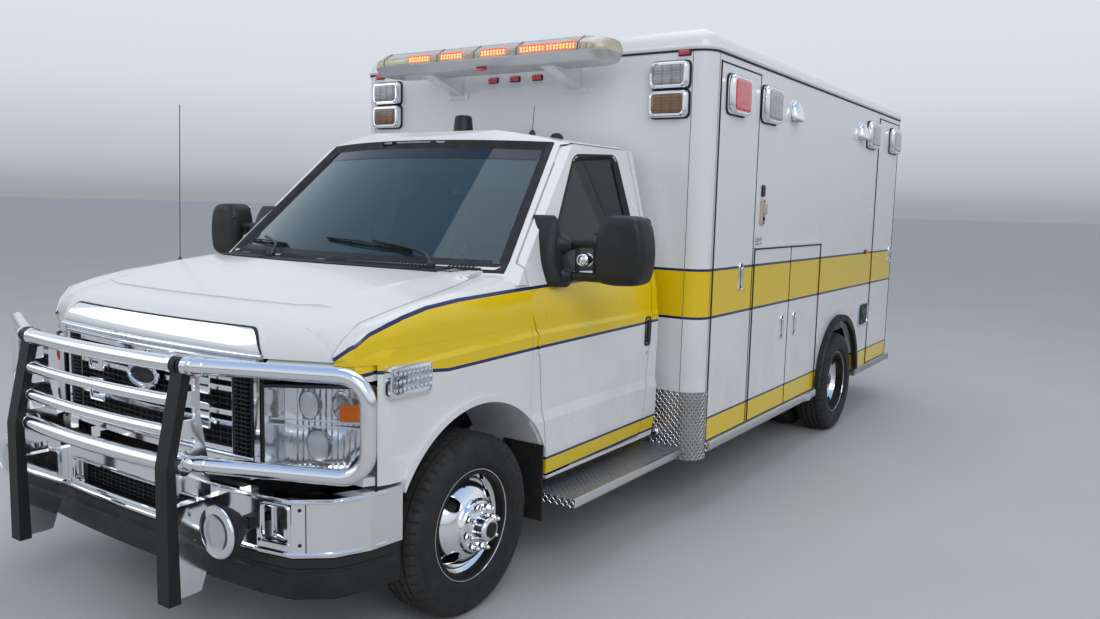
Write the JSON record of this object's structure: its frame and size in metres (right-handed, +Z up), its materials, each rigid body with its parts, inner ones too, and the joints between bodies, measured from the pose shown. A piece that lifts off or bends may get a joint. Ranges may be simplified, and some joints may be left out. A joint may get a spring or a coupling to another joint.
{
  "type": "ambulance",
  "caption": "Van-cab ambulance on a truck chassis with a square patient module, grille guard, light bar, opening doors, steered front wheels and twin rear wheels.",
  "frame": {"origin": "bottom centre of the bounding box, on the ground", "axes": "+X to the vehicle's left, +Y towards its rear, +Z up"},
  "size_m": [2.804, 6.863, 2.53],
  "materials": {
    "white_paint": "gloss",
    "chassis_black": "satin",
    "cast_metal": "rough",
    "chrome": "mirror",
    "tread_plate": "satin",
    "window_glass": "tinted",
    "lamp_lens": "clear",
    "grey_trim": "matte",
    "cabinet": "satin",
    "black_rubber": "matte",
    "black_plastic": "grained",
    "tyre": "matte"
  },
  "bodies": {
    "chassis": {"frame_rails": "chassis_black", "axles": "chassis_black", "powertrain": "cast_metal", "tank_and_exhaust": "cast_metal", "cab_shell": "white_paint", "front_fenders": "white_paint", "windscreen": "window_glass", "cab_interior": "grey_trim", "grille": "chrome", "headlamps": "lamp_lens", "grille_guard": "chrome", "front_bumper": "chrome", "lamp_pods": "chrome", "treadplate": "tread_plate", "side_walls": "white_paint", "end_walls": "white_paint", "module_roof": "white_paint", "module_floor": "tread_plate", "module_interior": "cabinet", "flares_and_flaps": "black_rubber", "warning_lamps": "lamp_lens", "light_bar": "lamp_lens"},
    "hood": {"hood": "white_paint"},
    "cab_door_left": {"cab_door_left": "white_paint", "cab_glass_left": "window_glass", "mirror_left": "black_plastic"},
    "knuckle_left": {"knuckle_left": "cast_metal"},
    "wheel_front_left": {"rim_front_left": "chrome", "tyre_front_left": "tyre"},
    "wheels_rear_left": {"rims_rear_left": "chrome", "tyres_rear_left": "tyre"},
    "rear_door_left": {"rear_door_left": "white_paint"},
    "cab_door_right": {"cab_door_right": "white_paint", "cab_glass_right": "window_glass", "mirror_right": "black_plastic"},
    "knuckle_right": {"knuckle_right": "cast_metal"},
    "wheel_front_right": {"rim_front_right": "chrome", "tyre_front_right": "tyre"},
    "wheels_rear_right": {"rims_rear_right": "chrome", "tyres_rear_right": "tyre"},
    "rear_door_right": {"rear_door_right": "white_paint"},
    "left_front_door": {"left_front_door": "white_paint"},
    "left_low_door_front": {"left_low_door_front": "white_paint"},
    "left_low_door_rear": {"left_low_door_rear": "white_paint"},
    "left_rear_door": {"left_rear_door": "white_paint"},
    "right_entry_door": {"right_entry_door": "white_paint"},
    "right_rear_door": {"right_rear_door": "white_paint"}
  },
  "joints": [
    {"name": "hood_hinge", "type": "hinge", "parent": "chassis", "child": "hood", "pos_m": [0, -2.2615, 1.322], "axis": [-1, 0, 0], "range_deg": [0, 48]},
    {"name": "cab_door_left_hinge", "type": "hinge", "parent": "chassis", "child": "cab_door_left", "pos_m": [1.007, -2.0255, 1], "axis": [0, 0, -1], "range_deg": [0, 70]},
    {"name": "steer_left", "type": "hinge", "parent": "chassis", "child": "knuckle_left", "pos_m": [0.826, -2.4115, 0.362], "axis": [0, 0, 1], "range_deg": [-32, 32]},
    {"name": "spin_front_left", "type": "hinge", "parent": "knuckle_left", "child": "wheel_front_left", "pos_m": [0.8815, -2.4115, 0.362], "axis": [1, 0, 0], "continuous": true},
    {"name": "spin_rear_left", "type": "hinge", "parent": "chassis", "child": "wheels_rear_left", "pos_m": [0.988, 1.6015, 0.362], "axis": [1, 0, 0], "continuous": true},
    {"name": "rear_door_left_hinge", "type": "hinge", "parent": "chassis", "child": "rear_door_left", "pos_m": [0.716, 3.1885, 1.5], "axis": [0, 0, -1], "range_deg": [0, 105]},
    {"name": "cab_door_right_hinge", "type": "hinge", "parent": "chassis", "child": "cab_door_right", "pos_m": [-1.007, -2.0255, 1], "axis": [0, 0, 1], "range_deg": [0, 70]},
    {"name": "steer_right", "type": "hinge", "parent": "chassis", "child": "knuckle_right", "pos_m": [-0.826, -2.4115, 0.362], "axis": [0, 0, 1], "range_deg": [-32, 32]},
    {"name": "spin_front_right", "type": "hinge", "parent": "knuckle_right", "child": "wheel_front_right", "pos_m": [-0.8815, -2.4115, 0.362], "axis": [1, 0, 0], "continuous": true},
    {"name": "spin_rear_right", "type": "hinge", "parent": "chassis", "child": "wheels_rear_right", "pos_m": [-0.988, 1.6015, 0.362], "axis": [1, 0, 0], "continuous": true},
    {"name": "rear_door_right_hinge", "type": "hinge", "parent": "chassis", "child": "rear_door_right", "pos_m": [-0.716, 3.1885, 1.5], "axis": [0, 0, 1], "range_deg": [0, 105]},
    {"name": "left_front_door_hinge", "type": "hinge", "parent": "chassis", "child": "left_front_door", "pos_m": [1.207, -0.7365, 1.2], "axis": [0, 0, -1], "range_deg": [0, 100]},
    {"name": "left_low_door_front_hinge", "type": "hinge", "parent": "chassis", "child": "left_low_door_front", "pos_m": [1.207, -0.1535, 1.2], "axis": [0, 0, -1], "range_deg": [0, 100]},
    {"name": "left_low_door_rear_hinge", "type": "hinge", "parent": "chassis", "child": "left_low_door_rear", "pos_m": [1.207, 1.0785, 1.2], "axis": [0, 0, 1], "range_deg": [0, 100]},
    {"name": "left_rear_door_hinge", "type": "hinge", "parent": "chassis", "child": "left_rear_door", "pos_m": [1.207, 2.4395, 1.2], "axis": [0, 0, -1], "range_deg": [0, 100]},
    {"name": "right_entry_door_hinge", "type": "hinge", "parent": "chassis", "child": "right_entry_door", "pos_m": [-1.207, -0.5615, 1.2], "axis": [0, 0, 1], "range_deg": [0, 100]},
    {"name": "right_rear_door_hinge", "type": "hinge", "parent": "chassis", "child": "right_rear_door", "pos_m": [-1.207, 2.4395, 1.2], "axis": [0, 0, 1], "range_deg": [0, 100]}
  ],
  "couplings": [
    {"joint": "steer_right", "follows": "steer_left", "ratio": 1}
  ]
}
